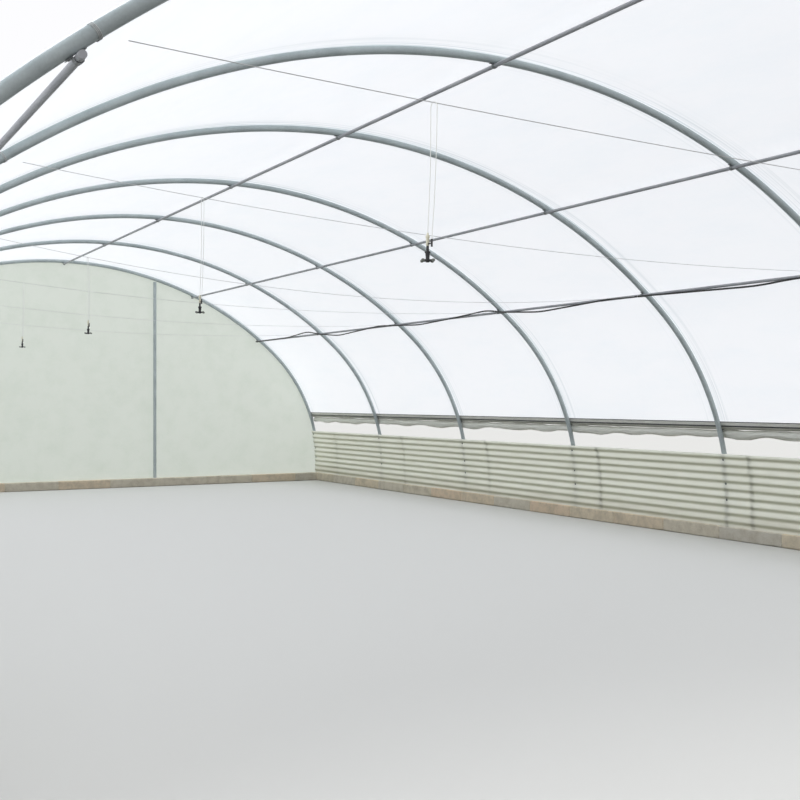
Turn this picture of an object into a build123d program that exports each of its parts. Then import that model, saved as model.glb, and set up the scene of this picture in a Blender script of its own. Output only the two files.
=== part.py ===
from build123d import *
from math import asin, atan, atan2, cos, pi, sin, tan
import os

# Round-tube tunnel greenhouse: six bays of a long tunnel, open at its near hoop and closed with film
# at its far hoop. All sizes are millimetres. X runs across the tunnel, Y along it from the open end
# to the closed end, and Z up from the ground. The origin is on the ground in the middle of the tunnel.
# Tubes and wires are bars of few sides, with flats where other pieces lie against them.

# Hoops
bay_count = 6
bay_length = 2250.0
near_bay_extra = 160.0  # the second hoop stands this much farther from the open end
half_span = 4080.0  # middle of the tunnel to the middle of an upright leg
ridge_height = 3330.0  # ground to the middle of the tube at the ridge
leg_height = 265.0  # straight, upright foot of a hoop
haunch_radius = 2430.0  # arc over each leg; the crown arc between them follows from it
hoop_tube = 48.0
tube_sides = 8
wire_sides = 6

# Purlins, on the inner side of the hoops
purlin_tube = 25.0
purlin_wall = 1.5
purlin_overhang = 50.0  # past the middle of the near hoop; the far ends stop at the end film
mid_purlin_share = 0.481  # of the half span, from the middle
low_purlin_share = 0.746

# Bent clips that hold a tube against a hoop
clip_thickness = 2.0
clip_width = 24.0
clip_tab = 20.0
seat_gap = 0.3  # between pieces that rest on each other
clip_gap = 0.8  # from a hoop's curve to what is clipped under it

# Cover film, modelled thicker than the real 0.2
film_thickness = 3.0
film_overhang = 32.0  # past the middle of each end hoop

# Film lock channel and vent tube on the outer side of the hoops
lock_height = 1085.0  # ground to the middle of the channel
lock_width = 30.0
lock_depth = 10.0
lock_wall = 1.5
lock_lip = 6.0
vent_tube = 42.0
vent_wall = 1.8
vent_gap = 4.0  # from the channel to the vent tube
curtain_height = 72.0  # rolled curtain, along the hoop
curtain_depth = 56.0
curtain_gap = 4.0  # from the vent tube to the roll
curtain_sides = 12
rail_overhang = 40.0

# Corrugated side sheet on the inner side of the hoops
wave_spacing = 76.0
sheet_waves = 9
sheet_depth = 18.0
sheet_thickness = 1.6
wave_flats = 8

# Block kerb under the side sheets and the end film
kerb_height = 125.0
kerb_width = 100.0

# Far end
post_share = 0.331  # of the half span, from the middle
post_tube = 48.0
post_wall = 2.0

# Tie lines from a hoop's left haunch to its right low purlin, one at each hoop but the last
tie_wire = 4.0
tie_left_shares = (0.731, 0.687, 0.695, 0.7, 0.7, 0.7)  # of the half span
tie_sags = (55.0, 115.0, 230.0, 140.0, 140.0, 140.0)

# Foggers hanging from the tie lines
fogger_shares = (0.466, 0.447, 0.46, 0.46, 0.46, 0.46)  # of the half span, from the middle to the left
fogger_drop = 470.0  # low purlins to the middle of the nozzles
dropper_tube = 3.0
dropper_loop = 13.0  # half the distance between the two runs of a dropper
dropper_shoulder_depth = 6.0  # slant where a run turns over the tie line
connector_size = 11.0
connector_length = 50.0
connector_collar = 14.0
connector_collar_length = 5.0
connector_collar_drop = 12.0  # top of the connector to the middle of its collar
hook_size = 7.0
hook_length = 26.0
valve_size = 15.0
valve_length = 33.0
valve_collar = 19.0
valve_collar_length = 4.0
valve_collar_drop = 12.0  # top of the valve to the middle of its collar
hub_size = 14.0
hub_length = 12.0
arm_size = 7.0
arm_reach = 24.0
nozzle_size = 10.0
nozzle_length = 6.0
fogger_turn = 20.0  # degrees of the first arm from X

# Water hose tied under the right low purlin
hose_size = 16.0
hose_sag = 15.0

hoop_radius = hoop_tube / 2
purlin_radius = purlin_tube / 2
tube_stretch = 1 / cos(pi / tube_sides)  # reach of a bar's corners over that of its flats
wire_stretch = 1 / cos(pi / wire_sides)

tunnel_length = bay_count * bay_length
stations = [bay_length * i - tunnel_length / 2 for i in range(bay_count + 1)]
stations[1] += near_bay_extra
near_end = stations[0]
far_end = stations[-1]

# The crown arc is tangent to both haunch arcs, which are tangent to the upright legs.
haunch_centre = half_span - haunch_radius
arch_rise = ridge_height - leg_height
crown_radius = (haunch_centre**2 + arch_rise**2 - haunch_radius**2) / (2 * (arch_rise - haunch_radius))
crown_centre = ridge_height - crown_radius
join_lean = atan2(haunch_centre, leg_height - crown_centre)

wave_swing = (sheet_depth - sheet_thickness) / 2  # of the side sheet's middle surface, each way


def crown_point(lean, offset):
    """Point of the crown arc at an angle from the ridge, moved outwards by offset."""
    reach = crown_radius + offset
    return Vector(reach * sin(lean), 0, crown_centre + reach * cos(lean))


def haunch_point(side, climb, offset):
    """Point of a haunch arc at an angle above the leg's top, moved outwards by offset."""
    reach = haunch_radius + offset
    return Vector(side * (haunch_centre + reach * cos(climb)), 0, leg_height + reach * sin(climb))


def climb_at(height, offset):
    """Angle of the haunch arc, moved outwards by offset, at a height above the ground."""
    return asin(max(height - leg_height, 0) / (haunch_radius + offset))


def arch_edges(offset, foot):
    """Edges of the hoop's line moved outwards by offset, from foot height over the ridge and down."""
    start = climb_at(foot, offset)
    half_way = (start + pi / 2 - join_lean) / 2
    joins = [crown_point(side * join_lean, offset) for side in (-1, 1)]
    edges = [ThreePointArc(joins[0], crown_point(0, offset), joins[1])]
    for side, join in zip((-1, 1), joins):
        low = haunch_point(side, start, offset)
        edges.append(ThreePointArc(low, haunch_point(side, half_way, offset), join))
        if foot < leg_height:
            edges.append(Line(Vector(low.X, 0, foot), low))
    return edges


def arch_band(inner, outer, foot):
    """Flat band between two offsets of the hoop's line."""
    edges = arch_edges(inner, foot) + arch_edges(outer, foot)
    for side in (-1, 1):
        ends = [haunch_point(side, climb_at(foot, offset), offset).X for offset in (inner, outer)]
        edges.append(Line(Vector(ends[0], 0, foot), Vector(ends[1], 0, foot)))
    return make_face(edges)


def under_arch(offset, foot):
    """Flat face of everything under the hoop's line moved outwards by offset."""
    corners = [Vector(side * (half_span + offset), 0, foot) for side in (-1, 1)]
    return make_face(arch_edges(offset, foot) + [Line(corners[0], corners[1])])


def run_along(face, start, length):
    """Solid of a flat XZ face carried along the tunnel from start."""
    return Pos(0, start, 0) * extrude(face, amount=length, dir=(0, 1, 0))


def polygon(points):
    """Flat face through points of the XZ plane."""
    corners = list(points)
    return make_face([Line(corners[i - 1], corners[i]) for i in range(len(corners))])


def bar_section(size, sides=tube_sides):
    """Section of a bar of few sides, size across its flats, with a flat towards X."""
    return RegularPolygon(size / 2, sides, major_radius=False, rotation=180 / sides)


def prism(size, length, sides=tube_sides):
    """Upright bar of few sides, its middle at the origin."""
    return Pos(0, 0, -length / 2) * extrude(bar_section(size, sides), amount=length)


def tube_along(place, size, wall, start, length):
    """Straight tube along the tunnel, lying against a hoop at place."""
    centre = place(0, size / 2)
    along = place(1, size / 2) - centre
    ring = bar_section(size) - bar_section(size - 2 * wall)
    plane = Plane(origin=(centre.X, start, centre.Z), x_dir=along, z_dir=(0, 1, 0))
    return extrude(plane * ring, amount=length)


def hoop_spot(x):
    """Point of the hoop's line at a distance x from the middle, and the outward direction there."""
    if abs(x) < crown_radius * sin(join_lean):
        centre = Vector(0, 0, crown_centre)
        reach = crown_radius
    else:
        centre = Vector(haunch_centre if x > 0 else -haunch_centre, 0, leg_height)
        reach = haunch_radius
    across = (x - centre.X) / reach
    out = Vector(across, 0, (1 - across**2) ** 0.5)
    return centre + out * reach, out


def inner_place(x):
    """Places points on the inner side of a hoop: a along the hoop, b away from it."""
    spot, out = hoop_spot(x)
    seat = spot - out * (hoop_radius + clip_gap)
    along = Vector(out.Z, 0, -out.X)
    return lambda a, b: seat + along * a - out * b


def outer_place(side, climb):
    """Places points on the outer side of a haunch: a up along the hoop, b away from it."""
    seat = haunch_point(side, climb, hoop_radius + seat_gap)
    along = Vector(-side * sin(climb), 0, cos(climb))
    out = Vector(side * cos(climb), 0, sin(climb))
    return lambda a, b: seat + along * a + out * b


def strap_line(place, half, top, start, end):
    """Points of a strap's line over a tube, up one side from start and down the other to end."""
    flat = half * tan(pi / tube_sides)
    shoulder = top - (half - flat)
    return [
        place(-half, start), place(-half, shoulder), place(-flat, top),
        place(flat, top), place(half, shoulder), place(half, end),
    ]


def clip_face(place, size, both_tabs=True):
    """Bent strap round a tube that lies against a hoop, with one or two tabs on the hoop."""
    inner = size / 2 + seat_gap
    outer = inner + clip_thickness
    tab = outer + clip_tab
    top = size + seat_gap
    last = clip_thickness if both_tabs else 0
    inside = strap_line(place, inner, top, 0, 0)
    outside = strap_line(place, outer, top + clip_thickness, clip_thickness, last)
    left_tab = [place(-tab, clip_thickness), place(-tab, 0)]
    right_tab = [place(tab, 0), place(tab, clip_thickness)] if both_tabs else []
    return polygon(left_tab + inside + right_tab + outside[::-1])


def at_hoops(face, width):
    """One copy of a clip at each hoop."""
    return Compound(children=[run_along(face, station - width / 2, width) for station in stations])


def make_hoop(station):
    section = Plane(origin=(-half_span, 0, 0), z_dir=(0, 0, 1)) * bar_section(hoop_tube)
    return Pos(0, station, 0) * sweep(section, path=Wire(arch_edges(0, 0)))


def make_purlin(place):
    length = tunnel_length + purlin_overhang + hoop_radius
    return tube_along(place, purlin_tube, purlin_wall, near_end - purlin_overhang, length)


def make_lock_channel(place):
    half = lock_width / 2
    lip = half - lock_lip
    inside = half - lock_wall
    top = lock_depth - lock_wall
    outline = [
        place(-half, 0), place(half, 0), place(half, lock_depth), place(lip, lock_depth), place(lip, top),
        place(inside, top), place(inside, lock_wall), place(-inside, lock_wall), place(-inside, top),
        place(-lip, top), place(-lip, lock_depth), place(-half, lock_depth),
    ]
    length = tunnel_length + 2 * rail_overhang
    return run_along(polygon(outline), near_end - rail_overhang, length)


def make_curtain(place):
    """Curtain film rolled up into an oval bundle."""
    turns = [2 * pi * k / curtain_sides for k in range(curtain_sides)]
    oval = [place(curtain_height / 2 * cos(t), curtain_depth / 2 * (1 + sin(t))) for t in turns]
    return run_along(polygon(oval), near_end, tunnel_length)


def leg_line(side, travel, offset):
    """Point, upward direction and outward direction of the hoop's line, travel above the kerb."""
    straight = leg_height - kerb_height
    if travel <= straight:
        spot = Vector(side * (half_span + offset), 0, kerb_height + travel)
        return spot, Vector(0, 0, 1), Vector(side, 0, 0)
    climb = (travel - straight) / (haunch_radius - hoop_radius)
    up = Vector(-side * sin(climb), 0, cos(climb))
    out = Vector(side * cos(climb), 0, sin(climb))
    return haunch_point(side, climb, offset), up, out


def make_side_sheet(side):
    """Corrugated sheet that follows the inner side of the legs, in short flats along its waves."""
    middle = -hoop_radius - seat_gap - sheet_depth / 2
    foot = seat_gap + sheet_thickness / 2
    faces = {-1: [], 1: []}
    for k in range(sheet_waves * wave_flats + 1):
        phase = 2 * pi * k / wave_flats
        spot, up, out = leg_line(side, foot + k * wave_spacing / wave_flats, middle)
        slope = atan(wave_swing * 2 * pi / wave_spacing * cos(phase))
        normal = out * cos(slope) - up * sin(slope)
        for face, line in faces.items():
            line.append(spot + out * (wave_swing * sin(phase)) + normal * (face * sheet_thickness / 2))
    outline = polygon(faces[-1] + faces[1][::-1])
    return run_along(outline, near_end - hoop_radius, tunnel_length + 2 * hoop_radius)


def make_side_kerb(side):
    """Kerb with a notch in its outer side round the foot of each hoop."""
    inner = half_span - hoop_radius - seat_gap - sheet_depth
    length = tunnel_length + kerb_width
    kerb = Pos(side * (inner + kerb_width / 2), 0, kerb_height / 2) * Box(kerb_width, length, kerb_height)
    half_notch = hoop_radius * tube_stretch + seat_gap
    notch = Box(2 * kerb_width, 2 * half_notch, 3 * kerb_height)
    notch_middle = half_span - hoop_radius - seat_gap + kerb_width
    for station in stations:
        kerb -= Pos(side * notch_middle, station, 0) * notch
    return kerb


def make_end_kerb():
    """Kerb under the end film, between the side kerbs."""
    reach = half_span - hoop_radius - 2 * seat_gap - sheet_depth
    return Pos(0, far_end, kerb_height / 2) * Box(2 * reach, kerb_width, kerb_height)


def make_end_post(side):
    """Upright tube from the end kerb, its top cut to fit under the far hoop."""
    foot = kerb_height + seat_gap
    ring = bar_section(post_tube) - bar_section(post_tube - 2 * post_wall)
    spot = Pos(side * post_share * half_span, far_end, foot)
    post = extrude(spot * ring, amount=ridge_height - foot)
    return post & run_along(under_arch(-hoop_radius - seat_gap, 0), far_end - post_tube, 2 * post_tube)


def low_purlin_centre():
    """Middle of the right low purlin's tube."""
    return inner_place(low_purlin_share * half_span)(0, purlin_radius)


def tie_arc(index):
    """Line of a tie wire, from the middle of the hoop's tube to the middle of the low purlin."""
    left = hoop_spot(-tie_left_shares[index] * half_span)[0]
    right = low_purlin_centre()
    middle = (left + right) / 2
    return ThreePointArc(left, Vector(middle.X, 0, middle.Z - tie_sags[index]), right)


def make_tie_line(index):
    """Wire with its ends cut to the inner side of the hoop and to the purlin's clip."""
    arc = tie_arc(index)
    section = Plane(origin=arc @ 0, x_dir=(0, 1, 0), z_dir=arc % 0) * bar_section(tie_wire, wire_sides)
    inner_side = run_along(under_arch(-hoop_radius - seat_gap, 0), -clip_width, 2 * clip_width)
    clip_reach = (purlin_radius + clip_thickness + 2 * seat_gap) * tube_stretch
    clip_space = Pos(low_purlin_centre()) * Rot(90, 0, 0) * Cylinder(clip_reach, clip_width)
    wire = (sweep(section, path=arc) & inner_side) - clip_space
    return Pos(0, stations[index], 0) * wire


def tie_height(index):
    """Height of a tie wire over the row of foggers."""
    arc = tie_arc(index)
    centre = arc.arc_center
    return centre.Z - (arc.radius**2 - (fogger_shares[index] * half_span + centre.X) ** 2) ** 0.5


def fogger_place(index, side, height):
    """Place by a dropper: side -1 is its near run, 0 the tie line and 1 its far run."""
    return Pos(-fogger_shares[index] * half_span, stations[index] + side * dropper_loop, height)


def valve_top():
    """Height of the top of the foggers' valves."""
    return low_purlin_centre().Z - fogger_drop + hub_length / 2 + valve_length


def make_dropper(index):
    """Thin tube folded over a tie line, one run down to the connector and one to the hook."""
    crest = tie_height(index) + (tie_wire + dropper_tube) / 2 * wire_stretch + seat_gap
    shoulder = crest - dropper_shoulder_depth
    bottom = valve_top() + connector_length + 2 * seat_gap
    flat = dropper_loop - dropper_shoulder_depth
    path = Polyline(
        (0, -dropper_loop, bottom), (0, -dropper_loop, shoulder), (0, -flat, crest),
        (0, flat, crest), (0, dropper_loop, shoulder), (0, dropper_loop, bottom),
    )
    section = Plane(origin=path @ 0, z_dir=(0, 0, 1)) * bar_section(dropper_tube, wire_sides)
    tube = sweep(section, path=path, transition=Transition.RIGHT)
    return fogger_place(index, 0, 0) * tube


def make_connector(index):
    """Pale connector with a collar, between a dropper's far run and the valve."""
    collar_place = Pos(0, 0, connector_length / 2 - connector_collar_drop)
    connector = prism(connector_size, connector_length)
    connector += collar_place * prism(connector_collar, connector_collar_length)
    middle = valve_top() + seat_gap + connector_length / 2
    return fogger_place(index, 1, middle) * connector


def make_hook(index):
    """Small black hook under a dropper's near run, reaching over to the connector's collar."""
    top = valve_top() + connector_length + seat_gap
    hook = Pos(0, 0, -hook_length / 2) * prism(hook_size, hook_length, wire_sides)
    reach = 2 * dropper_loop - connector_collar / 2 - seat_gap
    finger = Box(connector_collar_length, reach, connector_collar_length)
    hook += Pos(0, reach / 2, -connector_collar_drop) * finger
    return fogger_place(index, -1, top) * hook


def make_fogger(index):
    """Leak valve over a hub with four nozzle arms."""
    fogger = Pos(0, 0, -valve_length / 2) * prism(valve_size, valve_length)
    fogger += Pos(0, 0, -valve_collar_drop) * prism(valve_collar, valve_collar_length)
    hub_place = Pos(0, 0, -valve_length - hub_length / 2)
    fogger += hub_place * prism(hub_size, hub_length)
    sideways = Rot(0, 90, 0)
    tip_middle = arm_reach + nozzle_length / 2
    arm = Pos(arm_reach / 2, 0, 0) * sideways * prism(arm_size, arm_reach, wire_sides)
    arm += Pos(tip_middle, 0, 0) * sideways * prism(nozzle_size, nozzle_length, wire_sides)
    for quarter in range(4):
        fogger += hub_place * Rot(0, 0, 90 * quarter + fogger_turn) * arm
    return fogger_place(index, 1, valve_top()) * fogger


def make_hose():
    """Hose tied up at each hoop and hanging a little between them."""
    purlin = low_purlin_centre()
    clip_reach = (purlin_radius + clip_thickness + seat_gap) * tube_stretch
    seat = purlin.Z - clip_reach - seat_gap - hose_size / 2
    quarter = bay_length / 4
    turn = 2 * atan(hose_sag / quarter)
    tie_radius = 0.45 * quarter / tan(turn / 2)
    bay_radius = 0.45 * quarter / tan(turn / 4)
    lift = tie_radius * (1 / cos(turn / 2) - 1)
    points = [Vector(purlin.X, near_end, seat)]
    radii = []
    for start, finish in zip(stations, stations[1:]):
        step = (finish - start) / 4
        points.append(Vector(purlin.X, start + step, seat - hose_sag))
        points.append(Vector(purlin.X, finish - step, seat - hose_sag))
        radii += [bay_radius, bay_radius]
        if finish < far_end:
            points.append(Vector(purlin.X, finish, seat + lift))
            radii.append(tie_radius)
    points.append(Vector(purlin.X, far_end, seat))
    path = FilletPolyline(*points, radius=radii)
    print("hose radii", round(bay_radius), round(tie_radius), "length", round(path.length))
    section = Plane(origin=path @ 0, x_dir=(1, 0, 0), z_dir=path % 0) * bar_section(hose_size, wire_sides)
    return sweep(section, path=path)


def side_pieces(name, side):
    """What one long side carries outside its hoops, and its sheet, kerb and end post."""
    lock_climb = climb_at(lock_height, hoop_radius)
    reach = haunch_radius + hoop_radius
    vent_climb = lock_climb - (lock_width / 2 + vent_gap + vent_tube / 2) / reach
    curtain_climb = vent_climb - (vent_tube / 2 + curtain_gap + curtain_height / 2) / reach
    vent_place = outer_place(side, vent_climb)
    rail_start = near_end - rail_overhang
    rail_length = tunnel_length + 2 * rail_overhang
    return {
        f"{name}_lock_channel": make_lock_channel(outer_place(side, lock_climb)),
        f"{name}_vent_tube": tube_along(vent_place, vent_tube, vent_wall, rail_start, rail_length),
        f"{name}_vent_clips": at_hoops(clip_face(vent_place, vent_tube, both_tabs=False), clip_width),
        f"{name}_curtain": make_curtain(outer_place(side, curtain_climb)),
        f"{name}_side_sheet": make_side_sheet(side),
        f"{name}_kerb": make_side_kerb(side),
        f"{name}_end_post": make_end_post(side),
    }


def main():
    os.makedirs("parts", exist_ok=True)
    nodes = {}
    for index, station in enumerate(stations):
        nodes[f"hoop_{index + 1}"] = make_hoop(station)

    purlin_shares = {
        "ridge": 0,
        "right_mid": mid_purlin_share,
        "right_low": low_purlin_share,
        "left_low": -low_purlin_share,
    }
    for name, share in purlin_shares.items():
        place = inner_place(share * half_span)
        nodes[f"{name}_purlin"] = make_purlin(place)
        nodes[f"{name}_clips"] = at_hoops(clip_face(place, purlin_tube), clip_width)

    film_inside = hoop_radius + seat_gap
    film_foot = lock_height + lock_width / 2 + seat_gap
    cover = arch_band(film_inside, film_inside + film_thickness, film_foot)
    nodes["roof_film"] = run_along(cover, near_end - film_overhang, tunnel_length + 2 * film_overhang)
    end_wall = under_arch(hoop_radius, kerb_height + seat_gap)
    nodes["end_film"] = run_along(end_wall, far_end + hoop_radius + seat_gap, film_thickness)
    nodes["end_kerb"] = make_end_kerb()
    for name, side in (("left", -1), ("right", 1)):
        nodes.update(side_pieces(name, side))

    lines = range(len(tie_sags))
    nodes["tie_lines"] = Compound(children=[make_tie_line(i) for i in lines])
    nodes["fogger_droppers"] = Compound(children=[make_dropper(i) for i in lines])
    nodes["fogger_connectors"] = Compound(children=[make_connector(i) for i in lines])
    nodes["fogger_hooks"] = Compound(children=[make_hook(i) for i in lines])
    nodes["foggers"] = Compound(children=[make_fogger(i) for i in lines])
    nodes["water_hose"] = make_hose()

    for name, shape in nodes.items():
        export_step(shape, f"parts/{name}.step")
        print(name, len(shape.solids()))


main()
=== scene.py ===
import bpy
import numpy as np
from math import radians
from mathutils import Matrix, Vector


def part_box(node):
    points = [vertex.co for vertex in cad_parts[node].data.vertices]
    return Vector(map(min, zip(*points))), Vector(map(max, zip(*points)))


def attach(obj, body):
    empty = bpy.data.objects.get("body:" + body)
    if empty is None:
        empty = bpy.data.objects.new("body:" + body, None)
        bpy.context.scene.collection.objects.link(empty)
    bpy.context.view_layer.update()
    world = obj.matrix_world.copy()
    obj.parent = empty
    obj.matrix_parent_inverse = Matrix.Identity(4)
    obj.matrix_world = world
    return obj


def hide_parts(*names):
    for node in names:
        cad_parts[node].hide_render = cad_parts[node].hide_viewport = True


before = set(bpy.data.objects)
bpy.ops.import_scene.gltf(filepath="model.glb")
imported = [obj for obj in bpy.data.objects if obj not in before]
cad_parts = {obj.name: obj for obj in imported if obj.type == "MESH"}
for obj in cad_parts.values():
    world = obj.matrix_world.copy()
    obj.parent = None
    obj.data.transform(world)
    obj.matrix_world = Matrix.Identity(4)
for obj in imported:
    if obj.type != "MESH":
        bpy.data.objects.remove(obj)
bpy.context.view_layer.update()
rng = np.random.default_rng(17)


# Meshes and nodes

def toLinear(text):
    # sRGB hex to linear colour: each channel is c/12.92 near black and ((c + 0.055)/1.055)^2.4 above
    c = np.array([int(text[i:i + 2], 16) / 255 for i in (1, 3, 5)])
    c = np.where(c <= 0.04045, c / 12.92, ((c + 0.055) / 1.055) ** 2.4)
    return (*c.tolist(), 1.0)


def addNode(tree, kind, values=None, links=None, **settings):
    # a node with its settings, the values of its sockets and the sockets that feed it
    node = tree.nodes.new(kind)
    for key, value in settings.items():
        setattr(node, key, value)
    for key, value in (values or {}).items():
        node.inputs[key].default_value = value
    for key, socket in (links or {}).items():
        tree.links.new(socket, node.inputs[key])
    return node


def newMaterial(name):
    material = bpy.data.materials.new(name)
    material.use_nodes = True
    material.node_tree.nodes.clear()
    return material, material.node_tree


def gridQuads(rows, cols, closed=False):
    # quads between neighbours in a grid of points; a closed grid joins its last column to its first
    r = np.arange(rows - 1)[:, None]
    c = np.arange(cols if closed else cols - 1)[None, :]
    n = (c + 1) % cols
    corners = [r * cols + c, r * cols + n, (r + 1) * cols + n, (r + 1) * cols + c]
    return np.stack([k + 0 * r + 0 * c for k in corners], -1).reshape(-1, 4)


def endFans(rows, sides):
    # a fan of triangles at each end of a tube, about the two points that follow its rings of points
    k = np.arange(sides)
    last = (rows - 1) * sides
    low = np.stack([(k + 1) % sides, k, 0 * k + rows * sides], -1)
    high = np.stack([last + k, last + (k + 1) % sides, 0 * k + rows * sides + 1], -1)
    return np.vstack([low, high])


def gridShape(x, y, z):
    # open surface through a grid of points, given as three arrays of rows and columns
    points = np.stack(np.broadcast_arrays(x, y, z), -1)
    return points.reshape(-1, 3), gridQuads(*points.shape[:2]), np.zeros((0, 3), int)


def sweepTube(path, reference, radius, sides, stretch=(1.0, 1.0)):
    # round tube about a path: point + radius * (cos(turn) * b + sin(turn) * n), where b is the reference
    # direction made square to the path and n is square to both; stretch widens it along b and along n
    path = np.asarray(path, float)
    reference = np.asarray(reference, float)
    run = np.gradient(path, axis=0)
    run /= np.linalg.norm(run, axis=1)[:, None]
    b = reference - run * (run @ reference)[:, None]
    b /= np.linalg.norm(b, axis=1)[:, None]
    n = np.cross(run, b)
    turn = 2 * np.pi * np.arange(sides)[None, :, None] / sides
    ring = np.cos(turn) * b[:, None] * stretch[0] + np.sin(turn) * n[:, None] * stretch[1]
    verts = (path[:, None] + radius * ring).reshape(-1, 3)
    verts = np.vstack([verts, path[0], path[-1]])
    return verts, gridQuads(len(path), sides, closed=True), endFans(len(path), sides)


def turned(profile, sides):
    # profile of radius and height carried round the Z axis: (r cos t, r sin t, h); ends at radius 0 close it
    r, h = np.asarray(profile, float).T[:, :, None]
    turn = 2 * np.pi * np.arange(sides) / sides
    verts = np.stack(np.broadcast_arrays(r * np.cos(turn), r * np.sin(turn), h), -1).reshape(-1, 3)
    verts = np.vstack([verts, (0, 0, h[0, 0]), (0, 0, h[-1, 0])])
    return verts, gridQuads(len(h), sides, closed=True), endFans(len(h), sides)


def placed(shape, origin, xWay, zWay):
    # the shape with its Z along zWay and its X as near xWay as that allows
    z = np.asarray(zWay, float) / np.linalg.norm(zWay)
    x = np.asarray(xWay, float) - z * np.dot(z, xWay)
    x /= np.linalg.norm(x)
    verts, quads, tris = shape
    return verts @ np.array([x, np.cross(z, x), z]) + np.asarray(origin, float), quads, tris


def joined(shapes):
    # one shape of several: each one's faces count on from the points before it
    counts = np.cumsum([0] + [len(s[0]) for s in shapes])[:-1]
    return (
        np.vstack([s[0] for s in shapes]),
        np.vstack([s[1] + k for s, k in zip(shapes, counts)]),
        np.vstack([s[2] + k for s, k in zip(shapes, counts)]),
    )


def washerBolt(washer, rim, thick, head, height, sides):
    # hexagonal head on a round washer that narrows from its foot to its rim
    disc = turned([(0, 0), (washer, 0), (rim, thick), (0, thick)], sides)
    hexagon = turned([(0, thick), (head, thick), (head, height), (0, height)], 6)
    return joined([disc, hexagon])


def addPiece(name, shape, material, replaces=(), sharpAngle=40):
    # mesh object at the origin, shaded smooth up to its sharp angle, on the frame's only body
    verts, quads, tris = shape
    mesh = bpy.data.meshes.new(name)
    loops = np.concatenate([np.asarray(quads, int).ravel(), np.asarray(tris, int).ravel()])
    sizes = np.concatenate([np.full(len(quads), 4), np.full(len(tris), 3)])
    mesh.vertices.add(len(verts))
    mesh.vertices.foreach_set("co", np.asarray(verts, np.float32).ravel())
    mesh.loops.add(len(loops))
    mesh.loops.foreach_set("vertex_index", loops.astype(np.int32))
    mesh.polygons.add(len(sizes))
    mesh.polygons.foreach_set("loop_start", (np.cumsum(sizes) - sizes).astype(np.int32))
    mesh.update(calc_edges=True)
    mesh.polygons.foreach_set("use_smooth", np.ones(len(sizes), bool))
    mesh.set_sharp_from_angle(angle=radians(sharpAngle))
    piece = bpy.data.objects.new(name, mesh)
    bpy.context.scene.collection.objects.link(piece)
    piece.data.materials.append(material)
    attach(piece, "root")
    if replaces:
        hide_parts(*replaces)
    return piece


def addShare(piece, name, values):
    # one number at each point of the mesh, which the piece's material reads
    attribute = piece.data.attributes.new(name, "FLOAT", "POINT")
    attribute.data.foreach_set("value", np.asarray(values, np.float32).ravel())


def recolour(node, material):
    # a CAD node that keeps its own shape takes a better material
    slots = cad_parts[node].data.materials
    slots.clear()
    slots.append(material)


# The hoop's line: a crown arc, an arc over each leg and upright legs

arch = {"tube": 0.048, "legHeight": 0.265, "haunchRadius": 2.43, "seat": 0.0003}
hoopNames = [f"hoop_{i}" for i in range(1, 8)]
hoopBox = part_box("hoop_1")
tubeRadius = arch["tube"] / 2
halfSpan = hoopBox[1].x - tubeRadius
ridgeHeight = hoopBox[1].z - tubeRadius
stations = np.array([(low.y + high.y) / 2 for low, high in map(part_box, hoopNames)])
haunchCentre = halfSpan - arch["haunchRadius"]
archRise = ridgeHeight - arch["legHeight"]
crownRadius = haunchCentre**2 + archRise**2 - arch["haunchRadius"] ** 2
crownRadius /= 2 * (archRise - arch["haunchRadius"])  # which makes the crown arc tangent to both haunch arcs
crownCentre = ridgeHeight - crownRadius
joinLean = np.arctan2(haunchCentre, arch["legHeight"] - crownCentre)
crownHalf = crownRadius * joinLean
haunchLength = arch["haunchRadius"] * (np.pi / 2 - joinLean)
halfTravel = crownHalf + haunchLength + arch["legHeight"]
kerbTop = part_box("end_kerb")[1].z


def archAt(travel, out=0.0):
    # travel runs along the hoop's line from the ridge, to the left below zero; out moves a point off it:
    # centre + (radius + out) * normal, the normal leaning by travel over radius, then straight down the leg
    travel = np.asarray(travel, float)
    far = np.abs(travel)
    side = np.where(travel < 0, -1.0, 1.0)
    onCrown = far <= crownHalf
    climb = np.pi / 2 - joinLean - np.clip(far - crownHalf, 0, haunchLength) / arch["haunchRadius"]
    angle = np.where(onCrown, np.pi / 2 - far / crownRadius, climb)
    reach = np.where(onCrown, crownRadius, arch["haunchRadius"]) + out
    x = np.where(onCrown, 0, haunchCentre) + reach * np.cos(angle)
    z = np.where(onCrown, crownCentre, arch["legHeight"]) + reach * np.sin(angle)
    z = z - np.maximum(far - crownHalf - haunchLength, 0)
    return side * x, z, side * np.cos(angle), np.sin(angle)


def travelAtClimb(climb):
    # distance from the ridge at which the haunch arc stands at this angle above the leg's top
    return crownHalf + arch["haunchRadius"] * (np.pi / 2 - joinLean - climb)


def travelAtX(x):
    # travel to the point of the hoop's line that is x from the middle
    if abs(x) < crownRadius * np.sin(joinLean):
        return crownRadius * np.arcsin(x / crownRadius)
    return np.sign(x) * travelAtClimb(np.arccos((abs(x) - haunchCentre) / arch["haunchRadius"]))


def onHoop(travel, out, y):
    # point in space, outward direction and direction along the hoop, at one travel
    x, z, nx, nz = (float(v) for v in archAt(travel, out))
    return np.array([x, y, z]), np.array([nx, 0, nz]), np.array([nz, 0, -nx])


def softNoise(a, b, waves, lengthA, lengthB):
    # sum of sine waves of random direction and phase over two lengths, between about -1 and 1
    total = np.zeros(np.broadcast(a, b).shape)
    for _ in range(waves):
        turn, phase, step = rng.uniform(0, 2 * np.pi), rng.uniform(0, 2 * np.pi), rng.uniform(0.6, 1.7)
        swing = a * np.cos(turn) / lengthA + b * np.sin(turn) / lengthB
        total += np.sin(2 * np.pi * step * swing + phase)
    return total / waves**0.5 / 1.4


# Materials

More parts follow.
